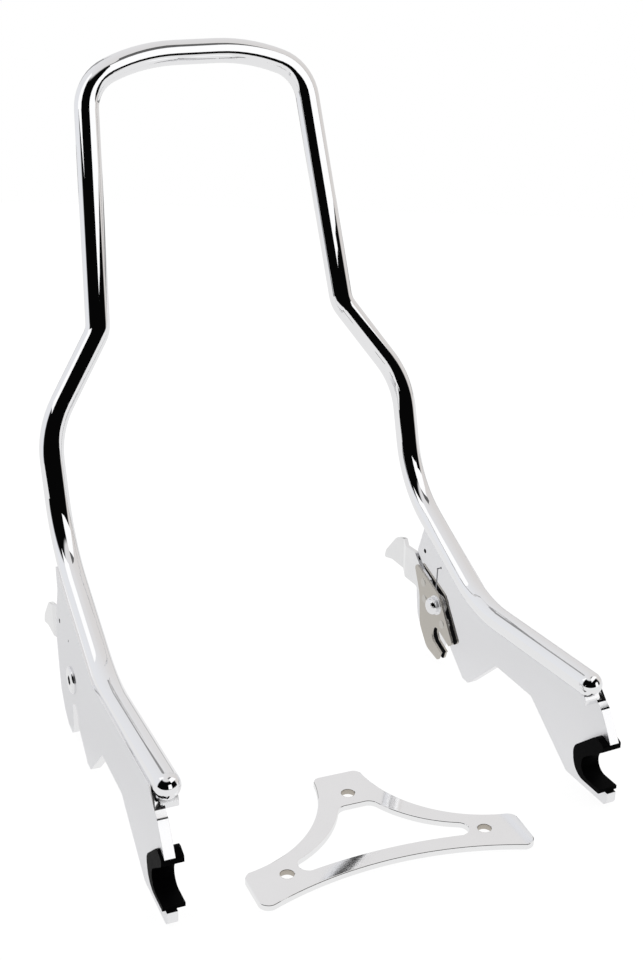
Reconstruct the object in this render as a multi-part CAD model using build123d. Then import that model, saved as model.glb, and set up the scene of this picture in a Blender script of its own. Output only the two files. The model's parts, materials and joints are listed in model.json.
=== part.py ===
"""Detachable motorcycle sissy bar with two latching side plates and a loose pad plate.

Frame: X to the right, Y to the rear, Z up, millimetres. The origin lies midway between
the two front docking seats. Each side is drawn in its own side frame, where u points
outboard from the bar's axis, v points to the rear and w points up from the seat.
"""
import math
import os

from build123d import *

# Round bar: one length bent into the hoop and both lower runs.
bar_dia = 15.875            # 5/8 in stock
hoop_lean = 15.8            # hoop's lean to the rear, degrees from upright
crest_rise = 306.8          # heel bend to the top rail, measured up the lean
crest_half = 37.85          # corner of the top rail's bow from the centre
shoulder_half = 75.7
shoulder_drop = 15.6        # shoulder corner below the crest, up the lean
waist_half = 87.2
waist_rise = 134.1
hip_rise = 74.0
crest_bend = 119.0          # bend radii, to the bar's axis
shoulder_bend = 28.0
waist_bend = 18.0
hip_bend = 65.0
heel_bend = 72.0
knee_bend = 86.0

# Side frame, shared by everything on one side.
dock_half_width = 135.6     # front seat from the centre plane, at the bar's axis
toe_out = 1.9               # the sides open toward the front, degrees
heel_v = 233.7
heel_w = 100.3
knee_v = 133.7
knee_w = 48.3
bar_end_v = 9.7
bar_end_w = 54.9

# Side plate.
plate_thk = 6.35            # 1/4 in plate
plate_standout = 1.25       # outer face outside the bar's outer side
ground_w = -20.0            # level of the plate's lowest edge
arch_rear_v = 116.5         # arch between the two docking points
arch_front_v = 73.5
arch_w = 11.0
seat_ledge_half = 5.3       # weld ledge under the bar
seat_ledge_drop = 4.0
seat_ledge_front_v = 5.2

# Front docking seat and its bushing.
dock_bore_r = 7.9375        # 5/8 in docking post
bushing_wall = 3.0
mouth_flare = 37.0          # rise of the mouth's upper side, degrees
mouth_front_v = -12.0
boss_depth = 5.0            # inboard flange
flange_depth = 1.8          # outboard flange

# Rear docking slot and the latch fork that closes it.
post_v = 184.0
post_w = 1.5
slot_r = 7.0
fork_gap = 13.5             # fork mouth, for a 1/2 in post
fork_mouth_dip = 22.0       # the mouth points forward and this far down, degrees
fork_nose = 21.5            # front point ahead of the post
fork_horn = 34.0            # upper corner behind and above the pivot
fork_horn_rise = 20.7
fork_rear = 24.0            # rear edge behind the pivot
hook_drop = 17.9            # hook's lowest point below the post
hook_back = 24.0            # hook's heel behind the post
pivot_v = 186.0
pivot_w = 26.0
sheet_thk = 1.6
sheet_gap = 3.0             # also the thickness of the lever between them
collar_thk = 0.4
run_gap = 0.15              # side play at each end of the latch
pivot_dia = 8.0
pivot_clearance = 0.05      # radial, bolt in its bores
collar_dia = 13.0
latch_bush_dia = 12.6
bolt_head_dia = 18.0
bolt_head_height = 2.6
bolt_socket = 6.0           # across flats
pivot_washer_dia = 14.0
pivot_washer_thk = 1.0
nut_dia = 12.5
nut_height = 6.0
rivet_dia = 4.0
rivet_head_dia = 6.0
rivet_head_height = 0.5
rivet_clearance = 0.02

# Thumb lever.
lever_neck = 49.0           # from the pivot to the outward bend, clear of the plate when open
lever_bend = 13.0           # length of the bend
lever_offset = 6.0          # outward step that brings the tab in line with the plate
tab_reach = 91.5            # from the pivot to the tab's tip
tab_droop = 4.0             # tip below the pivot
tab_rise = 23.5             # top corner above the pivot

# Return spring.
spring_wire = 0.9
spring_mean_r = 7.4
spring_rise = 1.15          # axial rise over the coil
spring_turns = 1.09
spring_start = -1.1         # where the coil starts below the rear, degrees
spring_leg = 24.45
spring_short_leg = 6.0
anchor_hole_dia = 1.6
plating_hole_dia = 3.2      # hole for hanging the plate in the bath

# Pad plate.
pad_thk = 4.0
pad_hole_span = 125.4
pad_hole_rise = 62.0
pad_hole_dia = 8.4
pad_x = -6.5
pad_y = -4.9
pad_turn = -3.0             # degrees about Z, as it lies

bar_r = bar_dia / 2
plate_out_u = bar_r + plate_standout
plate_in_u = plate_out_u - plate_thk
collar_u = plate_in_u - collar_thk
outer_sheet_u = collar_u - run_gap - sheet_thk
spacer_u = outer_sheet_u - sheet_gap
inner_sheet_u = spacer_u - sheet_thk
washer_u = inner_sheet_u - run_gap - pivot_washer_thk
nut_u = washer_u - nut_height
right_side = Location((dock_half_width, 0, 0), (0, 0, toe_out))


def side_face(corners):
    """Flat face from (v, w, corner radius) rows."""
    points = [(v, w) for v, w, _ in corners]
    radii = [radius for _, _, radius in corners]
    return make_face(FilletPolyline(*points, radius=radii, close=True))


def disc(v, w, radius):
    """Round face in the side frame's v-w plane."""
    return Pos(v, w) * Circle(radius)


def slab(face, inner_u, thickness):
    """Extrude a side face outboard from inner_u."""
    plane = Plane(origin=(inner_u, 0, 0), x_dir=(0, 1, 0), z_dir=(1, 0, 0))
    return extrude(plane * face, amount=thickness)


def both_sides(name, local_part, trim=None):
    """Place a side part on the right, mirror it to the left, and write both."""
    right = right_side * local_part
    if trim is not None:
        right = right - trim
    write("right_" + name, right)
    write("left_" + name, mirror(right, about=Plane.YZ))


def write(name, part):
    """Write one named piece."""
    export_step(part, "parts/" + name + ".step")


def side_point(v, w):
    """Point on the right run's axis plane in the object frame."""
    turn = math.radians(toe_out)
    return Vector(dock_half_width - v * math.sin(turn), v * math.cos(turn), w)


def make_hoop():
    """The bent round bar with its two domed ends."""
    heel = side_point(heel_v, heel_w)
    lean = math.radians(hoop_lean)

    def up_lean(x, rise):
        return Vector(x, heel.Y + rise * math.sin(lean), heel.Z + rise * math.cos(lean))

    half = [
        side_point(bar_end_v, bar_end_w),
        side_point(knee_v, knee_w),
        heel,
        up_lean(heel.X, hip_rise),
        up_lean(waist_half, waist_rise),
        up_lean(shoulder_half, crest_rise - shoulder_drop),
        up_lean(crest_half, crest_rise),
    ]
    other = [Vector(-p.X, p.Y, p.Z) for p in reversed(half)]
    bends = [knee_bend, heel_bend, hip_bend, waist_bend, shoulder_bend, crest_bend]
    path = FilletPolyline(*half, *other, radius=bends + bends[::-1])
    section = Plane(origin=path @ 0, z_dir=path % 0) * Circle(bar_r)
    bar = sweep(section, path=path)
    return bar + Pos(*half[0]) * Sphere(bar_r) + Pos(*other[-1]) * Sphere(bar_r)


def run_axis_w(v):
    """Height of the lower run's axis ahead of the knee bend."""
    return bar_end_w + (v - bar_end_v) * (knee_w - bar_end_w) / (knee_v - bar_end_v)


def slope_axis_w(v):
    """Height of the rising run's axis behind the knee bend."""
    return knee_w + (v - knee_v) * (heel_w - knee_w) / (heel_v - knee_v)


def mouth_face(radius, front_v):
    """C-shaped docking opening: a round seat with a level floor and a flared roof."""
    rise = math.radians(mouth_flare)
    roof_slope = math.tan(rise)
    roof_at_rear = radius / math.cos(rise) - radius * roof_slope
    roof_at_front = radius / math.cos(rise) - front_v * roof_slope
    round_r = radius - 0.02
    return side_face([
        (front_v, -radius, 0),
        (radius, -radius, round_r),
        (radius, roof_at_rear, round_r),
        (front_v, roof_at_front, 0),
    ])


def make_plate():
    """Side plate with its weld ledge and docking openings."""
    mouth_r = dock_bore_r + bushing_wall
    slot_top = post_w + slot_r
    slot_round = slot_r - 0.05
    rear_v = pivot_v + 32.0
    front_v = mouth_front_v - 2.0
    outline = side_face([
        (rear_v, slope_axis_w(rear_v), 0),
        (pivot_v + 30.5, pivot_w + 49.5, 7),
        (pivot_v + 40.0, pivot_w + 25.0, 10),
        (pivot_v + 42.0, pivot_w + 13.0, 0),
        (pivot_v + 39.0, pivot_w - 14.0, 8),
        (post_v + 39.0, post_w - 1.5, 8),
        (post_v + 31.0, post_w - 14.0, 8),
        (post_v + 22.0, ground_w + 1.0, 5),
        (post_v + 11.5, ground_w, 2.5),
        (post_v + slot_r, post_w - 13.0, 4),
        (post_v + slot_r, slot_top, slot_round),
        (post_v - slot_r, slot_top, slot_round),
        (post_v - slot_r, post_w - 5.0, 5),
        (post_v - 26.7, ground_w, 3.5),
        (post_v - 34.3, ground_w, 3.5),
        (arch_rear_v, arch_w, 3),
        (arch_front_v, arch_w, 5),
        (arch_front_v - 44.0, ground_w, 5),
        (front_v, ground_w, 4),
        (front_v, -dock_bore_r, 0),
        (0.0, 0.0, 0),
        (mouth_front_v - 1.0, dock_bore_r + 14.0, 0),
        (mouth_front_v + 5.0, dock_bore_r + 24.0, 8),
        (mouth_front_v + 11.5, bar_end_w - 13.5, 5),
        (bar_end_v - 6.2, bar_end_w - 10.5, 2),
        (bar_end_v + 4.0, run_axis_w(bar_end_v + 4.0), 0),
        (knee_v, knee_w + 2.0, 0),
    ])
    anchor = spring_tips()[0]
    profile = outline - mouth_face(mouth_r, 2 * mouth_front_v)
    profile -= disc(pivot_v, pivot_w, pivot_dia / 2 + pivot_clearance)
    profile -= disc(anchor.Y, anchor.Z, anchor_hole_dia / 2)
    profile -= disc(pivot_v + 29.9, pivot_w + 27.8, plating_hole_dia / 2)
    ledge_rear = knee_v - 24.0
    drop = bar_r + seat_ledge_drop
    ledge = side_face([
        (seat_ledge_front_v, run_axis_w(seat_ledge_front_v) - drop, 0),
        (seat_ledge_front_v, run_axis_w(seat_ledge_front_v) - bar_r - 0.5, 0),
        (bar_end_v + 1.0, run_axis_w(bar_end_v) - 0.5, 0),
        (ledge_rear, run_axis_w(ledge_rear), 0),
        (ledge_rear - 4.0, run_axis_w(ledge_rear) - drop, 0),
    ])
    return slab(profile, plate_in_u, plate_thk) + slab(ledge, -seat_ledge_half, 2 * seat_ledge_half)


def make_bushing():
    """Flanged C bushing that lines the front docking opening."""
    bore = mouth_face(dock_bore_r, 3 * mouth_front_v)
    insert = mouth_face(dock_bore_r + bushing_wall, mouth_front_v) - bore
    skirt = dock_bore_r + 2 * bushing_wall
    flange = side_face([
        (mouth_front_v, -dock_bore_r - bushing_wall, 1),
        (skirt + 0.5, -dock_bore_r - bushing_wall, 12),
        (skirt + 4.0, dock_bore_r - 1.0, 9),
        (mouth_front_v + 8.0, dock_bore_r + 18.0, 5),
        (mouth_front_v, dock_bore_r + 15.0, 1.5),
    ])
    flange -= bore
    boss = slab(flange, plate_in_u - boss_depth, boss_depth)
    lip = slab(flange, plate_out_u, flange_depth)
    return slab(insert, plate_in_u, plate_thk) + boss + lip


def fork_face():
    """Outline of one latch sheet with its pivot bore and rivet holes."""
    nose_v = post_v - fork_nose
    outline = side_face([
        (pivot_v + fork_horn, pivot_w + fork_horn_rise, 3),
        (pivot_v - 3.0, pivot_w + latch_bush_dia / 2 + 1.9, 6),
        (nose_v, post_w + 4.2, 2),
        (nose_v + 4.0, post_w + 1.2, 1),
        (post_v - 5.8, post_w - fork_gap / 2 - 4.5, 0.5),
        (post_v - 3.4, post_w - hook_drop, 3),
        (post_v + 13.4, post_w - hook_drop + 3.1, 10),
        (post_v + hook_back, post_w - 1.3, 10),
        (pivot_v + fork_rear, pivot_w - 1.8, 20),
    ])
    mouth = Pos(post_v, post_w) * Rot(0, 0, 180 + fork_mouth_dip) * (
        Circle(fork_gap / 2) + Pos(post_v / 4, 0) * Rectangle(post_v / 2, fork_gap)
    )
    face = outline - mouth - disc(pivot_v, pivot_w, pivot_dia / 2 + pivot_clearance)
    for v, w in rivet_points():
        face -= disc(v, w, rivet_dia / 2 + rivet_clearance)
    return face


def outer_fork_face():
    """Sheet next to the plate, with the hole that takes the spring's moving leg."""
    moving = spring_tips()[1]
    return fork_face() - disc(moving.Y, moving.Z, anchor_hole_dia / 2)


def rivet_points():
    """Rivet centres: two through the lever's root, one on the front prong."""
    return [(pivot_v + 16.5, pivot_w - 3.0), (pivot_v + 19.0, pivot_w + 9.0), front_rivet()]


def front_rivet():
    """Centre of the shouldered rivet that spaces the front prong."""
    return ((pivot_v + post_v) / 2 - 7.5, pivot_w - 11.5)


def make_rivets():
    """Three rivets that hold both sheets and the lever's root, flush on the plate's side."""
    stack = 2 * sheet_thk + sheet_gap
    rivets = []
    for v, w in rivet_points():
        shank = slab(disc(v, w, rivet_dia / 2), inner_sheet_u, stack)
        head = disc(v, w, rivet_head_dia / 2)
        rivet = shank + slab(head, inner_sheet_u - rivet_head_height, rivet_head_height)
        if (v, w) == front_rivet():
            rivet += slab(head, spacer_u, sheet_gap)
        rivets.append(rivet)
    return Compound(children=rivets)


def make_lever():
    """Thumb lever: a root between the sheets and a tab that steps outward behind the plate."""
    outline = side_face([
        (pivot_v + 11.5, pivot_w - 8.5, 2),
        (pivot_v + fork_rear + 9.0, pivot_w, 6),
        (pivot_v + 0.87 * tab_reach, pivot_w - 0.5, 12),
        (pivot_v + tab_reach, pivot_w - tab_droop, 1.5),
        (pivot_v + 0.97 * tab_reach, pivot_w + 0.15 * tab_rise, 6),
        (pivot_v + 0.8 * tab_reach, pivot_w + 0.87 * tab_rise, 12),
        (pivot_v + 0.68 * tab_reach, pivot_w + tab_rise, 3),
        (pivot_v + fork_horn + 2.0, pivot_w + tab_rise + 2.0, 4),
        (pivot_v + fork_rear + 1.0, pivot_w + fork_horn_rise - 5.0, 4),
        (pivot_v + 14.5, pivot_w + 12.0, 2),
    ])
    for v, w in rivet_points()[:2]:
        outline -= disc(v, w, rivet_dia / 2 + rivet_clearance)
    bend_v = pivot_v + lever_neck
    tab_v = bend_v + lever_bend
    tip_v = pivot_v + tab_reach + 1.0
    inboard = [(spacer_u, pivot_v, 0), (spacer_u, bend_v, 6), (spacer_u + lever_offset, tab_v, 6)]
    inboard.append((spacer_u + lever_offset, tip_v, 0))
    outboard = [(u + sheet_gap, v, radius) for u, v, radius in reversed(inboard)]
    strip = side_face(inboard + outboard)
    return slab(outline, spacer_u, lever_offset + sheet_gap) & extrude(strip, amount=4 * pivot_w)


def make_bolt():
    """Pivot bolt with a round socket head outside the plate."""
    shank = slab(disc(pivot_v, pivot_w, pivot_dia / 2), nut_u + 2.0, plate_out_u - nut_u - 2.0)
    head = slab(disc(pivot_v, pivot_w, bolt_head_dia / 2), plate_out_u, bolt_head_height)
    head = fillet(head.edges().sort_by(Axis.X)[-1], 1.5)
    socket = Pos(pivot_v, pivot_w) * RegularPolygon(bolt_socket / 2, 6, major_radius=False)
    depth = bolt_head_height / 2
    return head + shank - slab(socket, plate_out_u + depth, depth)


def make_nut():
    """Dome nut on the inboard end of the pivot bolt."""
    body = slab(disc(pivot_v, pivot_w, nut_dia / 2), nut_u, nut_height)
    body = fillet(body.edges().sort_by(Axis.X)[0], nut_height * 0.7)
    bore = disc(pivot_v, pivot_w, pivot_dia / 2 + pivot_clearance)
    return body - slab(bore, nut_u + 2.0, nut_height)


def make_ring(outer_dia, inner_u, thickness):
    """Plain ring round the pivot bolt."""
    face = disc(pivot_v, pivot_w, outer_dia / 2)
    face -= disc(pivot_v, pivot_w, pivot_dia / 2 + pivot_clearance)
    return slab(face, inner_u, thickness)


def spring_coil():
    """Axis of the return spring's coil, wound round the latch bush between the sheets."""
    climb = spring_rise / (2 * math.pi * spring_mean_r * spring_turns)
    middle_u = spacer_u + sheet_gap / 2
    start_u = middle_u + (spring_rise + climb * (spring_short_leg - spring_leg)) / 2
    plane = Plane(origin=(start_u, pivot_v, pivot_w), x_dir=(0, 1, 0), z_dir=(-1, 0, 0))
    coil = Helix(pitch=spring_rise / spring_turns, height=spring_rise, radius=spring_mean_r)
    return plane * Rot(0, 0, spring_start) * coil


def spring_tips():
    """Far ends of the two legs: in the plate's anchor hole and in the outer sheet's."""
    coil = spring_coil()
    return [coil @ 0 - (coil % 0) * spring_leg, coil @ 1 + (coil % 1) * spring_short_leg]


def make_spring():
    """Wire return spring, one leg hooked into the plate and one into the outer sheet."""
    coil = spring_coil()
    radius = spring_wire / 2
    fixed, moving = spring_tips()
    wire = sweep(Plane(origin=coil @ 0, z_dir=coil % 0) * Circle(radius), path=coil, is_frenet=True)
    for start, tip in ((coil @ 0, fixed), (coil @ 1, moving)):
        leg = Plane(origin=start, z_dir=tip - start) * Circle(radius)
        wire += extrude(leg, amount=(tip - start).length)
    wire += slab(disc(fixed.Y, fixed.Z, radius), fixed.X - radius, plate_thk / 2 + plate_in_u - fixed.X)
    hook = outer_sheet_u + sheet_thk - moving.X
    wire += slab(disc(moving.Y, moving.Z, radius), moving.X - radius, hook)
    return wire


def make_pad_plate():
    """Flat three-lobed plate for the back pad, lying on the ground level."""
    lobe = pad_hole_span / 2 + 24.0
    top = pad_hole_rise + 22.0
    right_edge = [
        Line((0, top), (11.0, top)),
        RadiusArc((11.0, top), (16.0, top - 6.0), 5.5),
        ThreePointArc((16.0, top - 6.0), (29.5, 43.0), (lobe - 5.0, 9.0)),
        RadiusArc((lobe - 5.0, 9.0), (lobe, 3.0), 6.5),
        Line((lobe, 3.0), (lobe - 0.5, -17.0)),
        RadiusArc((lobe - 0.5, -17.0), (lobe - 8.0, -23.0), 6.5),
    ]
    floor = ThreePointArc((lobe - 8.0, -23.0), (0, -8.2), (8.0 - lobe, -23.0))
    outline = make_face([*right_edge, *[mirror(e, about=Plane.YZ) for e in right_edge], floor])
    inner_edge = [
        Line((0, 50.5), (6.0, 50.5)),
        RadiusArc((6.0, 50.5), (13.0, 46.0), 7.0),
        ThreePointArc((13.0, 46.0), (25.0, 29.0), (51.0, 10.5)),
        RadiusArc((51.0, 10.5), (48.0, -1.5), 6.5),
    ]
    sill = ThreePointArc((48.0, -1.5), (0, 2.5), (-48.0, -1.5))
    window = make_face([*inner_edge, *[mirror(e, about=Plane.YZ) for e in inner_edge], sill])
    holes = [(0, pad_hole_rise), (pad_hole_span / 2, 0), (-pad_hole_span / 2, 0)]
    face = outline - window
    for x, y in holes:
        face -= Pos(x, y) * Circle(pad_hole_dia / 2)
    return Pos(pad_x, pad_y, ground_w) * Rot(0, 0, pad_turn) * extrude(face, amount=pad_thk)


os.makedirs("parts", exist_ok=True)
hoop = make_hoop()
write("hoop", hoop)
write("pad_mounting_plate", make_pad_plate())
both_sides("side_plate", make_plate(), trim=hoop)
both_sides("dock_bushing", make_bushing())
both_sides("latch_inner_sheet", slab(fork_face(), inner_sheet_u, sheet_thk))
both_sides("latch_outer_sheet", slab(outer_fork_face(), outer_sheet_u, sheet_thk))
both_sides("latch_bush", make_ring(latch_bush_dia, spacer_u, sheet_gap))
both_sides("latch_rivets", make_rivets())
both_sides("thumb_lever", make_lever())
both_sides("pivot_bolt", make_bolt())
both_sides("pivot_collar", make_ring(collar_dia, collar_u, collar_thk))
both_sides("pivot_washer", make_ring(pivot_washer_dia, washer_u, pivot_washer_thk))
both_sides("pivot_dome_nut", make_nut())
both_sides("return_spring", make_spring())
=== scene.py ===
"""Looks for the detachable sissy bar: chrome bar and plates, satin latches, black bushings."""
import json
import logging
import math
from collections.abc import Callable, Iterable
from dataclasses import dataclass, field
from enum import Enum
from typing import ClassVar

import bmesh
import bpy
from mathutils import Matrix, Vector
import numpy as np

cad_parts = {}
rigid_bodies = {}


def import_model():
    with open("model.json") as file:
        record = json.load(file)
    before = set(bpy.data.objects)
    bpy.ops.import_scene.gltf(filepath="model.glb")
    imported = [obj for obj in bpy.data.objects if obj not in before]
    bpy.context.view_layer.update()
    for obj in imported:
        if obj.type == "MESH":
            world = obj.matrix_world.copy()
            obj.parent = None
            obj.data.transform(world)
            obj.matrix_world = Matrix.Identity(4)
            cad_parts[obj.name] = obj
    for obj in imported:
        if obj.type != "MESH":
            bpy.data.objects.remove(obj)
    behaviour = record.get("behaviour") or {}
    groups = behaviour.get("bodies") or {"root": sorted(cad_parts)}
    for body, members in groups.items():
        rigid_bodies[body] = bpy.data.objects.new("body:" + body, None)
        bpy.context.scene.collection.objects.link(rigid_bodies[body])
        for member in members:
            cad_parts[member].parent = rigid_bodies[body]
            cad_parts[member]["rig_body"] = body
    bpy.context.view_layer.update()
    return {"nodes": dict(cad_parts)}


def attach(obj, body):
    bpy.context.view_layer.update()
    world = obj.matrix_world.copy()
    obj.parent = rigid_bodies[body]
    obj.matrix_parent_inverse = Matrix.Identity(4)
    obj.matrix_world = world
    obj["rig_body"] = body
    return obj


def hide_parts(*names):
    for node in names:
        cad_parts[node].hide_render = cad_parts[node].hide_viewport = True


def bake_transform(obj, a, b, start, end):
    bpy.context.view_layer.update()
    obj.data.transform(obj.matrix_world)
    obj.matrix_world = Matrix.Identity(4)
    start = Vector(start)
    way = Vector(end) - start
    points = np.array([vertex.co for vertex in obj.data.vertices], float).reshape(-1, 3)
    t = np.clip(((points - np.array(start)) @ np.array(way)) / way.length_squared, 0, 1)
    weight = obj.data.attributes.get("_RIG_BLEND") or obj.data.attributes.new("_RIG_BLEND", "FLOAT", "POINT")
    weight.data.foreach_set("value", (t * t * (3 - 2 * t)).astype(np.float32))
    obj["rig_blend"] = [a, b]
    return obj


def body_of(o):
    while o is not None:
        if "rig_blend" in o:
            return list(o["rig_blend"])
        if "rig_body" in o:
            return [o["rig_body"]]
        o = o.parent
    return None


Colour = tuple[float, float, float]
Point = tuple[float, float, float]
Spot = tuple[float, float]
Socket = bpy.types.NodeSocket
Value = Socket | float | tuple[float, ...]
FaceRule = Callable[[Vector, Vector], bool]

LOG = logging.getLogger("sissy_bar")
SIDES: tuple[str, str] = ("left", "right")
IMAGE_SIZE: tuple[int, int] = (643, 960)
WHITE: tuple[float, ...] = (1.0, 1.0, 1.0, 1.0)

MERGE_DISTANCE = 1e-6               # metres within which a copy's corners are joined
FLAT_ANGLE = math.radians(1.0)      # faces that meet at less than this become one
SHARP_ANGLE = math.radians(40.0)    # edges that turn more than this are eased
CREASE_ANGLE = math.radians(18.0)   # edges that turn more than this stay creased
EASE_SEGMENTS = 2                   # facets across an eased edge
RELIEF_DEPTH = 0.0002               # metres of relief in a finish at full strength
EDGE_LIMIT = 0.7                    # most that the normal of a plate's cut edge leans to the side
FLANK_LIMIT = 0.9                   # least that the normal of a sheet's flank leans to the side
WALL_LIMIT = 0.5                    # most that the normal of a loose plate's hole leans up or down


class Grain(Enum):
    """Direction in which a metal finish was worked, as a stretch of its noise."""

    POLISHED = (1.0, 1.0, 1.0)
    ALONG_PLATE = (1.0, 0.08, 1.0)
    ALONG_SHEET = (1.0, 1.0, 0.1)


class Fade(Enum):
    """How a value passes from one end of its range to the other."""

    EVEN = "LINEAR"
    SOFT = "SMOOTHSTEP"


def grey(level: float) -> tuple[float, ...]:
    """Return an opaque grey of a level."""
    return (level, level, level, 1.0)


def scaled(colour: Colour, share: float) -> tuple[float, ...]:
    """Return an opaque colour, lightened or darkened by a factor."""
    return (*[channel * share for channel in colour], 1.0)


@dataclass(frozen=True)
class ShaderTree:
    """The nodes and links of one material or world."""

    nodes: bpy.types.Nodes
    links: bpy.types.NodeLinks

    @classmethod
    def of(cls, owner: bpy.types.Material | bpy.types.World) -> "ShaderTree":
        """Switch an owner's nodes on and return its tree."""
        owner.use_nodes = True
        return cls(owner.node_tree.nodes, owner.node_tree.links)

    def feed(self, target: Socket, value: Value) -> None:
        """Give an input its value.

        Args:
            target: Input that gets the value.
            value: Number or colour to set, or another node's output to link.
        """
        if isinstance(value, Socket):
            self.links.new(value, target)
        else:
            target.default_value = value

    def add(self, kind: str, **values: Value) -> bpy.types.Node:
        """Add a node.

        Args:
            kind: Blender's name for the type of node.
            values: Value of each input, by the input's name.

        Returns:
            The new node.
        """
        node = self.nodes.new(kind)
        for name, value in values.items():
            self.feed(node.inputs[name], value)
        return node

    def math(self, operation: str, first: Socket, second: Value | None = None) -> Socket:
        """Add a math node.

        Args:
            operation: Name of the operation.
            first: First operand.
            second: Second operand, where the operation has one.

        Returns:
            Socket that gives the result.
        """
        node = self.nodes.new("ShaderNodeMath")
        node.operation = operation
        self.feed(node.inputs[0], first)
        if second is not None:
            self.feed(node.inputs[1], second)
        return node.outputs["Value"]

    def noise(self, place: Socket, scale: float, detail: float) -> Socket:
        """Add a noise and return the socket that gives its value."""
        return self.add("ShaderNodeTexNoise", Vector=place, Scale=scale, Detail=detail).outputs["Fac"]

    def relief(self, height: Socket, strength: float) -> Socket:
        """Add a fine relief and return the socket that gives its normal."""
        bump = self.add("ShaderNodeBump", Height=height, Strength=strength, Distance=RELIEF_DEPTH)
        return bump.outputs["Normal"]

    def mix(self, share: Socket, under: Value, over: Value) -> Socket:
        """Mix two colours.

        Args:
            share: Socket that gives the share of the second colour.
            under: First colour.
            over: Second colour.

        Returns:
            Socket that gives the mixed colour.
        """
        node = self.nodes.new("ShaderNodeMix")
        node.data_type = "RGBA"
        self.feed(node.inputs["Factor"], share)
        self.feed(node.inputs["A"], under)
        self.feed(node.inputs["B"], over)
        return node.outputs["Result"]

    def choose(self, share: Socket, under: Socket, over: Socket) -> Socket:
        """Mix two shaders.

        Args:
            share: Socket that gives the share of the second shader.
            under: First shader.
            over: Second shader.

        Returns:
            Socket that gives the mixed shader.
        """
        node = self.add("ShaderNodeMixShader", Fac=share)
        self.feed(node.inputs[1], under)
        self.feed(node.inputs[2], over)
        return node.outputs["Shader"]

    def span(self, value: Socket, source: tuple[float, float], target: tuple[float, float] = (0.0, 1.0),
             fade: Fade = Fade.EVEN) -> Socket:
        """Carry a value from one range over to another.

        Args:
            value: Socket that gives the value.
            source: Ends of its range.
            target: Ends of the new range.
            fade: How the value passes between the ends.

        Returns:
            Socket that gives the new value.
        """
        node = self.add("ShaderNodeMapRange", Value=value)
        node.interpolation_type = fade.value
        for name, end in zip(("From Min", "From Max", "To Min", "To Max"), (*source, *target)):
            node.inputs[name].default_value = end
        return node.outputs["Result"]

    def window(self, value: Socket, low: float, high: float, soft: float) -> Socket:
        """Make a mask that is 1 between two ends and fades to 0 past them.

        Args:
            value: Socket that gives the angle.
            low: Lower end.
            high: Upper end.
            soft: Half width of the faded edges.

        Returns:
            Socket that gives the mask.
        """
        centre = (low + high) / 2
        half = high - centre
        distance = self.math("ABSOLUTE", self.math("SUBTRACT", value, centre))
        return self.span(distance, (half + soft, half - soft), fade=Fade.SOFT)


@dataclass(frozen=True)
class Finish:
    """What every finish has: a name, a colour and a least roughness."""

    name: str
    colour: Colour
    roughness: float

    def material(self) -> bpy.types.Material:
        """Build the node material.

        Returns:
            The finished material.
        """
        mat = bpy.data.materials.new(self.name)
        tree = ShaderTree.of(mat)
        self.shade(tree, tree.nodes["Principled BSDF"])
        return mat

    def shade(self, tree: ShaderTree, shader: bpy.types.Node) -> None:
        """Feed the shader with this finish's own nodes."""
        raise NotImplementedError


@dataclass(frozen=True)
class MetalFinish(Finish):
    """A plated or bare metal with fine variation in colour, gloss and surface."""

    CLOUD_DETAIL: ClassVar[float] = 6.0
    CLOUD_RANGE: ClassVar[tuple[float, float]] = (0.3, 0.7)
    FINE_RATIO: ClassVar[float] = 12.0
    FINE_DETAIL: ClassVar[float] = 3.0

    spread: float
    mottling: float
    bump: float
    scale: float
    grain: Grain = Grain.POLISHED

    def shade(self, tree: ShaderTree, shader: bpy.types.Node) -> None:
        """Feed the shader with clouds of tint and gloss and with a fine relief.

        Args:
            tree: Tree of the material.
            shader: Its shader.
        """
        shader.inputs["Metallic"].default_value = 1.0
        coords = tree.add("ShaderNodeTexCoord")
        mapping = tree.add("ShaderNodeMapping", Vector=coords.outputs["Object"], Scale=self.grain.value)
        cloud = tree.noise(mapping.outputs["Vector"], self.scale, self.CLOUD_DETAIL)
        fine = tree.noise(mapping.outputs["Vector"], self.scale * self.FINE_RATIO, self.FINE_DETAIL)
        tint = tree.mix(cloud, scaled(self.colour, 1.0 - self.mottling), scaled(self.colour, 1.0))
        gloss = tree.span(cloud, self.CLOUD_RANGE, (self.roughness, self.roughness + self.spread))
        tree.feed(shader.inputs["Base Color"], tint)
        tree.feed(shader.inputs["Roughness"], gloss)
        tree.feed(shader.inputs["Normal"], tree.relief(fine, self.bump))


@dataclass(frozen=True)
class PlasticFinish(Finish):
    """Dense black moulding, or painted shade in a gap or hole, with a faint skin texture."""

    SPECULAR: ClassVar[float] = 0.02
    SKIN_DETAIL: ClassVar[float] = 5.0
    DARKER: ClassVar[float] = 0.6
    LIGHTER: ClassVar[float] = 1.4
    SPREAD: ClassVar[float] = 0.15
    BUMP: ClassVar[float] = 0.15

    scale: float

    def shade(self, tree: ShaderTree, shader: bpy.types.Node) -> None:
        """Feed the shader with one noise for tint, gloss and relief.

        Args:
            tree: Tree of the material.
            shader: Its shader.
        """
        shader.inputs["Specular IOR Level"].default_value = self.SPECULAR
        coords = tree.add("ShaderNodeTexCoord")
        skin = tree.noise(coords.outputs["Object"], self.scale, self.SKIN_DETAIL)
        tint = tree.mix(skin, scaled(self.colour, self.DARKER), scaled(self.colour, self.LIGHTER))
        gloss = tree.span(skin, (0.0, 1.0), (self.roughness, self.roughness + self.SPREAD))
        tree.feed(shader.inputs["Base Color"], tint)
        tree.feed(shader.inputs["Roughness"], gloss)
        tree.feed(shader.inputs["Normal"], tree.relief(skin, self.BUMP))


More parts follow.
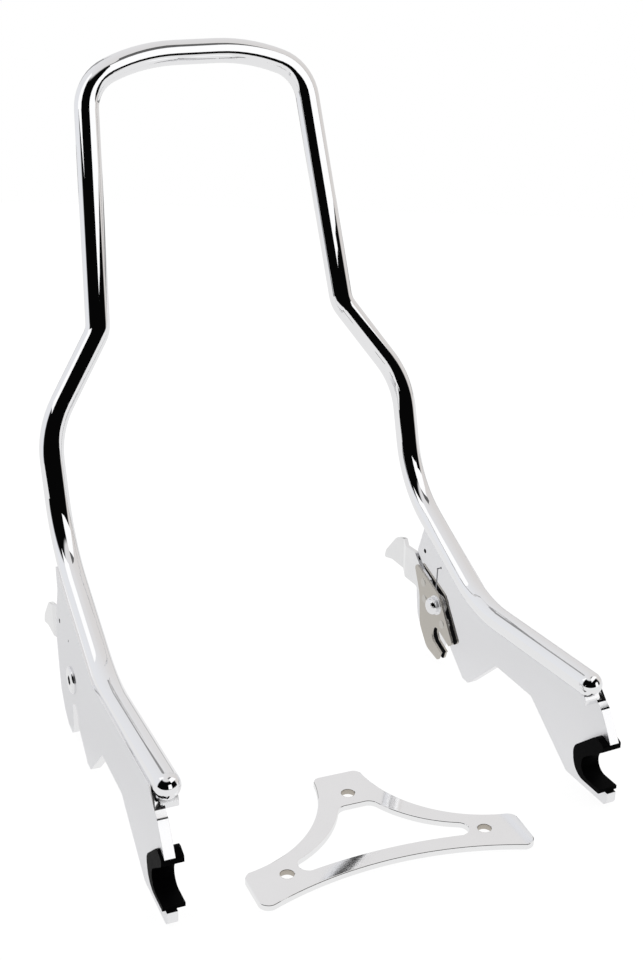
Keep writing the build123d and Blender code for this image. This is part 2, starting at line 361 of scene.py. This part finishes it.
BAR_CHROME = MetalFinish("bar_chrome", (0.93, 0.93, 0.94), 0.015, 0.02, 0.02, 0.01, 30.0)
PLATE_CHROME = MetalFinish("plate_chrome", (0.95, 0.95, 0.965), 0.4, 0.08, 0.07, 0.03, 18.0,
                           Grain.ALONG_PLATE)
PAD_CHROME = MetalFinish("pad_plate_chrome", (0.97, 0.97, 0.975), 0.04, 0.03, 0.04, 0.02, 60.0)
LEVER_CHROME = MetalFinish("lever_chrome", (0.92, 0.92, 0.925), 0.05, 0.06, 0.1, 0.03, 90.0)
FASTENER_CHROME = MetalFinish("fastener_chrome", (0.88, 0.88, 0.89), 0.05, 0.05, 0.03, 0.02, 60.0)
LATCH_STEEL = MetalFinish("latch_steel", (0.62, 0.59, 0.54), 0.32, 0.12, 0.12, 0.12, 45.0,
                          Grain.ALONG_SHEET)
RIVET_STEEL = MetalFinish("rivet_steel", (0.66, 0.64, 0.6), 0.25, 0.12, 0.1, 0.08, 80.0)
SPRING_STEEL = MetalFinish("spring_steel", (0.3, 0.3, 0.31), 0.3, 0.15, 0.15, 0.1, 90.0)
EDGE_CHROME = MetalFinish("edge_chrome", (0.93, 0.93, 0.94), 0.08, 0.04, 0.02, 0.01, 40.0)
BORE_SHADE = MetalFinish("bore_shade", (0.62, 0.575, 0.51), 0.35, 0.1, 0.2, 0.05, 90.0)
# Painted shade: a near-black colour on faces where only shade falls, not a black part.
GAP_PAINTED_SHADE = PlasticFinish("gap_painted_shade", (0.006, 0.006, 0.007), 0.6, 300.0)
BUSHING_BLACK = PlasticFinish("bushing_black", (0.002, 0.002, 0.0023), 0.45, 220.0)


def on_edge(normal: Vector, centre: Vector) -> bool:
    """Tell whether a face belongs to the cut edge of an upright plate."""
    return abs(normal.x) < EDGE_LIMIT


def facing(way: float) -> FaceRule:
    """Return a rule for the faces that look straight along X, in the direction of a sign."""
    return lambda normal, centre: normal.x * way > FLANK_LIMIT


def recess(spot: Spot, radius: float, reach: float = math.inf) -> FaceRule:
    """Return a rule for the faces near an axis along X.

    Args:
        spot: Y and Z of the axis.
        radius: Distance from the axis within which faces count.
        reach: Distance from the middle plane up to which faces count.

    Returns:
        The rule.
    """
    def rule(normal: Vector, centre: Vector) -> bool:
        """Tell whether a face is near the axis and within reach."""
        return math.hypot(centre.y - spot[0], centre.z - spot[1]) < radius and abs(centre.x) < reach

    return rule


def hole_wall(spot: Spot, radius: float) -> FaceRule:
    """Return a rule for the wall of a hole through an upright plate."""
    near = recess(spot, radius)
    return lambda normal, centre: on_edge(normal, centre) and near(normal, centre)


@dataclass(frozen=True)
class Extra:
    """A second finish and the rule that picks its faces."""

    finish: Finish
    rule: FaceRule


@dataclass(frozen=True)
class Softening:
    """How a node's stand-in differs from it: eased edges, second finishes, absence from mirror images."""

    width: float
    extras: tuple[Extra, ...] = ()
    mirrored: bool = True

    def slot_of(self, face: bmesh.types.BMFace) -> int:
        """Find the material slot of a face.

        Args:
            face: Face of the stand-in.

        Returns:
            Slot of the last rule that takes the face, or 0.
        """
        centre = face.calc_center_median()
        taken = [place for place, extra in enumerate(self.extras, 1) if extra.rule(face.normal, centre)]
        return max(taken, default=0)


def add_object(form: bmesh.types.BMesh, name: str,
               materials: Iterable[bpy.types.Material]) -> bpy.types.Object:
    """Put a finished form into the scene.

    Args:
        form: Form to use up.
        name: Name of the object and its mesh.
        materials: Materials for its slots, in order.

    Returns:
        The new object.
    """
    mesh = bpy.data.meshes.new(name)
    form.to_mesh(mesh)
    form.free()
    for material in materials:
        mesh.materials.append(material)
    piece = bpy.data.objects.new(name, mesh)
    bpy.context.collection.objects.link(piece)
    return piece


@dataclass
class Dresser:
    """Gives the carried-over nodes their finishes."""

    nodes: dict[str, bpy.types.Object]
    made: dict[str, bpy.types.Material] = field(default_factory=dict)

    def material(self, finish: Finish) -> bpy.types.Material:
        """Give a finish's material, built once.

        Args:
            finish: Finish to look up.

        Returns:
            Its material.
        """
        if finish.name not in self.made:
            self.made[finish.name] = finish.material()
        return self.made[finish.name]

    def dress(self, node: str, finish: Finish) -> None:
        """Put a finish on every slot of a node.

        Args:
            node: Name of the carried-over node.
            finish: Finish that the node gets.
        """
        for slot in self.nodes[node].material_slots:
            slot.material = self.material(finish)
        LOG.info("dressed %s in %s", node, finish.name)

    def joined_copy(self, node: str) -> bmesh.types.BMesh:
        """Copy a node's mesh with its loose triangles joined.

        Args:
            node: Name of the carried-over node.

        Returns:
            The copy.
        """
        form = bmesh.new()
        form.from_mesh(self.nodes[node].data)
        bmesh.ops.remove_doubles(form, verts=form.verts, dist=MERGE_DISTANCE)
        return form

    def soften(self, node: str, finish: Finish, softening: Softening) -> None:
        """Stand a copy with eased edges in for a node.

        Args:
            node: Name of the carried-over node.
            finish: Finish of the whole copy.
            softening: Width of the eased edges, and the second finishes.
        """
        form = self.joined_copy(node)
        bmesh.ops.dissolve_limit(form, angle_limit=FLAT_ANGLE, verts=form.verts, edges=form.edges)
        sharp = [edge for edge in form.edges if edge.is_manifold and edge.calc_face_angle() > SHARP_ANGLE]
        bmesh.ops.bevel(form, geom=sharp, offset=softening.width, offset_type="OFFSET",
                        segments=EASE_SEGMENTS, profile=0.5, affect="EDGES", material=-1,
                        clamp_overlap=True)
        form.normal_update()
        for face in form.faces:
            face.smooth = True
            face.material_index = softening.slot_of(face)
        for edge in form.edges:
            edge.smooth = edge.is_manifold and edge.calc_face_angle() < CREASE_ANGLE
        worn = (finish, *[extra.finish for extra in softening.extras])
        piece = add_object(form, f"{node}_eased", map(self.material, worn))
        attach(piece, body_of(self.nodes[node])[0])
        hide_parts(node)
        piece.visible_glossy = softening.mirrored
        LOG.info("eased %s: %d faces", node, len(piece.data.polygons))


SIDE_FINISHES: dict[str, Finish] = {
    "side_plate": PLATE_CHROME,
    "dock_bushing": BUSHING_BLACK,
    "latch_inner_sheet": LATCH_STEEL,
    "latch_outer_sheet": LATCH_STEEL,
    "latch_bush": LATCH_STEEL,
    "latch_rivets": RIVET_STEEL,
    "thumb_lever": LEVER_CHROME,
    "pivot_bolt": FASTENER_CHROME,
    "pivot_collar": LATCH_STEEL,
    "pivot_washer": FASTENER_CHROME,
    "pivot_dome_nut": FASTENER_CHROME,
    "return_spring": SPRING_STEEL,
}
UNMIRRORED: tuple[str, ...] = (
    "latch_bush", "latch_rivets", "pivot_collar", "pivot_washer", "pivot_dome_nut",
)


@dataclass
class SideAssembly:
    """Plate, bushing, pivot hardware and latch of one side.

    Lengths are metres, and a spot is its Y and Z.
    """

    side: str
    plate_edge: float = 0.0006
    lever_edge: float = 0.0005
    sheet_edge: float = 0.0003
    bushing_edge: float = 0.0006
    bolt_edge: float = 0.0001
    plating_hole: Spot = (0.2158, 0.0538)
    plating_hole_radius: float = 0.0025
    pivot: Spot = (0.1861, 0.026)
    socket_radius: float = 0.0037
    socket_rim: float = 0.141
    spring_drop: float = 0.0084

    def outward(self) -> float:
        """Return the sign of the outboard direction along X."""
        return 1.0 if self.side == "right" else -1.0

    def softenings(self) -> dict[str, Softening]:
        """Say how each sheet, bolt and moulded piece of this side is softened.

        Returns:
            Softening of each piece, by the piece's name.
        """
        out = self.outward()
        # Painted shade: the plating hole's wall, the bolt's key socket and the latch sheets' faces toward
        # each other are coloured near-black.
        plating = Extra(GAP_PAINTED_SHADE, hole_wall(self.plating_hole, self.plating_hole_radius))
        key_socket_shade = Extra(GAP_PAINTED_SHADE, recess(self.pivot, self.socket_radius, self.socket_rim))
        inner_gap_shade = Extra(GAP_PAINTED_SHADE, facing(out))
        outer_gap_shade = Extra(GAP_PAINTED_SHADE, facing(-out))
        return {
            "side_plate": Softening(self.plate_edge, (Extra(EDGE_CHROME, on_edge), plating)),
            "pivot_bolt": Softening(self.bolt_edge, (key_socket_shade,), mirrored=False),
            "thumb_lever": Softening(self.lever_edge, mirrored=False),
            "latch_inner_sheet": Softening(self.sheet_edge, (inner_gap_shade,), mirrored=False),
            "latch_outer_sheet": Softening(self.sheet_edge, (outer_gap_shade,), mirrored=False),
            "dock_bushing": Softening(self.bushing_edge),
        }

    def dress(self, dresser: Dresser) -> None:
        """Give each piece of this side its finish.

        Args:
            dresser: Holder of the nodes and the built materials.
        """
        for piece, finish in SIDE_FINISHES.items():
            dresser.dress(f"{self.side}_{piece}", finish)
        for piece in UNMIRRORED:
            dresser.nodes[f"{self.side}_{piece}"].visible_glossy = False
        for piece, softening in self.softenings().items():
            dresser.soften(f"{self.side}_{piece}", SIDE_FINISHES[piece], softening)
        self.build_spring(dresser)

    def build_spring(self, dresser: Dresser) -> None:
        """Stand in a spring whose short leg follows the latch while its long leg stays in the plate.

        Args:
            dresser: Holder of the nodes and the built materials.
        """
        node = f"{self.side}_return_spring"
        wire = dresser.joined_copy(node)
        for face in wire.faces:
            face.smooth = True
        piece = add_object(wire, f"{node}_flexed", [dresser.material(SPRING_STEEL)])
        at = (0.0, *self.pivot)
        tip = (0.0, self.pivot[0], self.pivot[1] - self.spring_drop)
        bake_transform(piece, "bar", f"{self.side}_latch", start=at, end=tip)
        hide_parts(node)
        piece.visible_glossy = False
        LOG.info("flexed %s", node)


@dataclass
class Hoop:
    """The bent round bar."""

    def dress(self, dresser: Dresser) -> None:
        """Give the bar its polished chrome."""
        dresser.dress("hoop", BAR_CHROME)


@dataclass
class PadPlate:
    """The loose three-lobed plate, with its holes as X and Y in metres."""

    edge: float = 0.0006
    holes: tuple[Spot, ...] = ((-0.0033, 0.0570), (0.0561, -0.0082), (-0.0691, -0.0016))
    hole_radius: float = 0.0050

    def in_hole(self, normal: Vector, centre: Vector) -> bool:
        """Tell whether a face belongs to the wall of one of the three holes."""
        near = [math.hypot(centre.x - x, centre.y - y) < self.hole_radius for x, y in self.holes]
        return abs(normal.z) < WALL_LIMIT and any(near)

    def dress(self, dresser: Dresser) -> None:
        """Give the loose plate its chrome, eased edges and shaded holes.

        Args:
            dresser: Holder of the nodes and the built materials.
        """
        bores = Extra(BORE_SHADE, self.in_hole)
        dresser.dress("pad_mounting_plate", PAD_CHROME)
        dresser.soften("pad_mounting_plate", PAD_CHROME, Softening(self.edge, (bores,)))


@dataclass(frozen=True)
class SkyPatch:
    """A soft-edged patch of the studio's surroundings, placed as seen from the object.

    Azimuths are degrees from the camera toward its right, elevations degrees above the horizon.
    """

    azimuth: float
    half_width: float
    low: float
    high: float
    soft: float
    level: float

    def cover(self, tree: ShaderTree, azimuth: Socket, elevation: Socket) -> Socket:
        """Make the patch's mask.

        Args:
            tree: Tree of the world.
            azimuth: Socket that gives a direction's azimuth.
            elevation: Socket that gives its elevation.

        Returns:
            Socket that gives 1 in the patch and 0 outside.
        """
        start, end = self.azimuth - self.half_width, self.azimuth + self.half_width
        across = tree.window(azimuth, start, end, self.soft)
        upright = tree.window(elevation, self.low, self.high, self.soft)
        return tree.math("MULTIPLY", across, upright)


DARK_ROOM = SkyPatch(azimuth=13.5, half_width=84.0, low=-100.0, high=56.5, soft=5.0, level=0.002)


@dataclass(frozen=True)
class Card:
    """An upright card near the object, out of the camera's sight, placed by its two ends on the plan.

    Each end is metres to the camera's right and metres toward the camera from the origin. A card that is
    in metal only shows in mirror images and lights nothing matt.
    """

    name: str
    start: Spot
    end: Spot
    low: float
    high: float
    level: float
    in_metal_only: bool = False

    def placing(self) -> Matrix:
        """Work out the card's size and place.

        Returns:
            Matrix that brings a unit square on the plan to the card.
        """
        along = Vector(self.end) - Vector(self.start)
        centre = (Vector(self.start) + Vector(self.end)) / 2
        place = Matrix.Translation((centre.x, -centre.y, (self.low + self.high) / 2))
        upright = Matrix.Rotation(math.pi / 2, 4, "X")
        turn = Matrix.Rotation(math.atan2(-along.y, along.x), 4, "Z") @ upright
        return place @ turn @ Matrix.Diagonal((along.length, self.high - self.low, 1.0, 1.0))

    def material(self) -> bpy.types.Material:
        """Build the card's even glow.

        Returns:
            The finished material.
        """
        mat = bpy.data.materials.new(self.name)
        tree = ShaderTree.of(mat)
        tree.nodes.remove(tree.nodes["Principled BSDF"])
        glow = tree.add("ShaderNodeEmission", Strength=self.level)
        tree.feed(tree.nodes["Material Output"].inputs["Surface"], glow.outputs["Emission"])
        return mat


CARDS: tuple[Card, ...] = (
    Card("left_card", (-0.539, 0.135), (-0.689, -0.125), 0.441, 1.30, 1.08),
    Card("right_card", (0.238, 0.308), (0.582, -0.370), 0.406, 1.26, 1.08),
    Card("dark_card", (0.798, 0.299), (1.370, 0.299), -0.02, 0.496, 0.002, True),
    Card("right_card_rim", (0.238, 0.308), (0.582, -0.370), 1.27, 2.8, 0.12, True),
    Card("back_stand", (-0.667, -0.789), (-0.503, -0.903), 0.45, 1.0, 0.3, True),
    Card("table_end", (-1.28, -1.58), (1.97, -1.58), -0.02, 0.06, 0.25, True),
    Card("left_front_reflector", (-0.083, 0.154), (-0.045, 0.122), 0.05, 0.115, 1.08, True),
    Card("right_front_reflector", (0.221, -0.047), (0.201, -0.003), 0.045, 0.11, 1.08, True),
)


@dataclass
class Studio:
    """White table, a pale room with a dark part behind the camera, and the camera."""

    ground: float = -0.0205
    eye: Point = (-0.35624, -0.66959, 0.53796)
    look: Point = (0.38345, 0.83550, -0.39358)
    upward: Point = (0.15245, 0.36305, 0.91921)
    focal_pixels: float = 1556.2
    principal: Spot = (323.25, 482.43)
    sensor_height: float = 24.0
    clip_start: float = 0.01
    room_cool: Colour = (0.83, 0.842, 0.868)
    room_warm: Colour = (0.71, 0.68, 0.656)
    table_left: float = -1.30
    table_right: float = 1.99
    table_front: float = 0.59
    table_back: float = -1.60
    table_level: float = 0.84
    paper: Colour = (0.86, 0.86, 0.87)
    paper_roughness: float = 0.9
    floor_glow: float = 0.92
    floor_shade: float = 0.2

    def build_camera(self) -> None:
        """Place the camera at the photograph's viewpoint."""
        width, height = IMAGE_SIZE
        data = bpy.data.cameras.new("photo_camera")
        data.sensor_fit = "VERTICAL"
        data.sensor_height = self.sensor_height
        data.lens = self.focal_pixels * self.sensor_height / height
        data.shift_x = (width / 2 - self.principal[0]) / height
        data.shift_y = (self.principal[1] - height / 2) / height
        data.clip_start = self.clip_start
        camera = bpy.data.objects.new("photo_camera", data)
        bpy.context.collection.objects.link(camera)
        back = -Vector(self.look).normalized()
        side = Vector(self.upward).cross(back).normalized()
        above = back.cross(side)
        turn = Matrix((side, above, back)).transposed().to_4x4()
        camera.matrix_world = Matrix.Translation(Vector(self.eye)) @ turn
        bpy.context.scene.camera = camera

    def heading(self) -> float:
        """Return the turn about the upright that brings the plan's front toward the camera."""
        return math.atan2(self.eye[0], -self.eye[1])

    def sheet(self, name: str, placing: Matrix, material: bpy.types.Material) -> bpy.types.Object:
        """Add a flat stage piece made from a unit square.

        Args:
            name: Name of the piece.
            placing: Size and place of the square on the plan.
            material: Finish of the piece.

        Returns:
            The new stage piece.
        """
        square = bmesh.new()
        bmesh.ops.create_grid(square, x_segments=1, y_segments=1, size=0.5)
        turn = Matrix.Rotation(self.heading(), 4, "Z")
        bmesh.ops.transform(square, matrix=turn @ placing, verts=square.verts)
        piece = add_object(square, name, [material])
        LOG.info("staged %s", name)
        return piece

    def build_floor(self) -> None:
        """Lay the white table, which shows white to the camera and keeps a faint shadow."""
        across = (self.table_left + self.table_right) / 2
        deep = -(self.table_front + self.table_back) / 2
        size = (self.table_right - self.table_left, self.table_front - self.table_back, 1.0, 1.0)
        place = Matrix.Translation((across, deep, self.ground)) @ Matrix.Diagonal(size)
        self.sheet("floor", place, self.floor_material())

    def floor_material(self) -> bpy.types.Material:
        """Build the table's material.

        Returns:
            White paper that glows for the camera and, a little less, in the metal.
        """
        mat = bpy.data.materials.new("floor_white")
        tree = ShaderTree.of(mat)
        paper = tree.nodes["Principled BSDF"]
        paper.inputs["Base Color"].default_value = scaled(self.paper, 1.0)
        paper.inputs["Roughness"].default_value = self.paper_roughness
        paper.inputs["Specular IOR Level"].default_value = 0.0
        shade = tree.add("ShaderNodeBsdfDiffuse", Color=grey(self.floor_shade))
        glow = tree.add("ShaderNodeEmission", Strength=self.floor_glow)
        lit = tree.add("ShaderNodeAddShader")
        tree.feed(lit.inputs[0], shade.outputs["BSDF"])
        tree.feed(lit.inputs[1], glow.outputs["Emission"])
        mirrored = tree.add("ShaderNodeEmission", Strength=self.table_level)
        rays = tree.add("ShaderNodeLightPath")
        unseen = tree.choose(rays.outputs["Is Glossy Ray"], paper.outputs["BSDF"],
                             mirrored.outputs["Emission"])
        seen = tree.choose(rays.outputs["Is Camera Ray"], unseen, lit.outputs["Shader"])
        tree.feed(tree.nodes["Material Output"].inputs["Surface"], seen)
        return mat

    def build_cards(self) -> None:
        """Stand the cards round the object, where only its surfaces meet them."""
        for card in CARDS:
            piece = self.sheet(card.name, card.placing(), card.material())
            piece.visible_camera = False
            piece.visible_shadow = False
            piece.visible_diffuse = not card.in_metal_only

    def build_sky(self) -> None:
        """Make the pale room with its dark part; the camera sees plain white behind the object."""
        world = bpy.data.worlds.new("studio_room")
        bpy.context.scene.world = world
        tree = ShaderTree.of(world)
        coords = tree.add("ShaderNodeTexCoord")
        turned = tree.add("ShaderNodeMapping", Vector=coords.outputs["Generated"],
                          Rotation=(0.0, 0.0, -self.heading()))
        parts = tree.add("ShaderNodeSeparateXYZ", Vector=turned.outputs["Vector"])
        toward = tree.math("MULTIPLY", parts.outputs["Y"], -1.0)
        azimuth = tree.math("DEGREES", tree.math("ARCTAN2", parts.outputs["X"], toward))
        elevation = tree.math("DEGREES", tree.math("ARCSINE", parts.outputs["Z"]))
        cover = DARK_ROOM.cover(tree, azimuth, elevation)
        room = tree.mix(cover, self.room_tint(tree, parts.outputs["X"]), grey(DARK_ROOM.level))
        rays = tree.add("ShaderNodeLightPath")
        sky = tree.nodes["Background"]
        tree.feed(sky.inputs["Color"], tree.mix(rays.outputs["Is Camera Ray"], room, WHITE))
        sky.inputs["Strength"].default_value = 1.0

    def room_tint(self, tree: ShaderTree, aside: Socket) -> Socket:
        """Shade the pale room from cool on the camera's left to warm on its right.

        Args:
            tree: Tree of the world.
            aside: Socket that gives how far a direction points to the right, from -1 to 1.

        Returns:
            Socket that gives the colour.
        """
        share = tree.span(aside, (-1.0, 1.0))
        return tree.mix(share, scaled(self.room_cool, 1.0), scaled(self.room_warm, 1.0))

    def build(self) -> None:
        """Build the whole studio."""
        bpy.context.scene.view_settings.view_transform = "Standard"
        self.build_camera()
        self.build_floor()
        self.build_cards()
        self.build_sky()


def main() -> None:
    """Load the frame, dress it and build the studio."""
    logging.basicConfig(level=logging.INFO)
    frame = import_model()
    dresser = Dresser(frame["nodes"])
    Hoop().dress(dresser)
    PadPlate().dress(dresser)
    for side in SIDES:
        SideAssembly(side).dress(dresser)
    Studio().build()


if __name__ == "__main__":
    main()
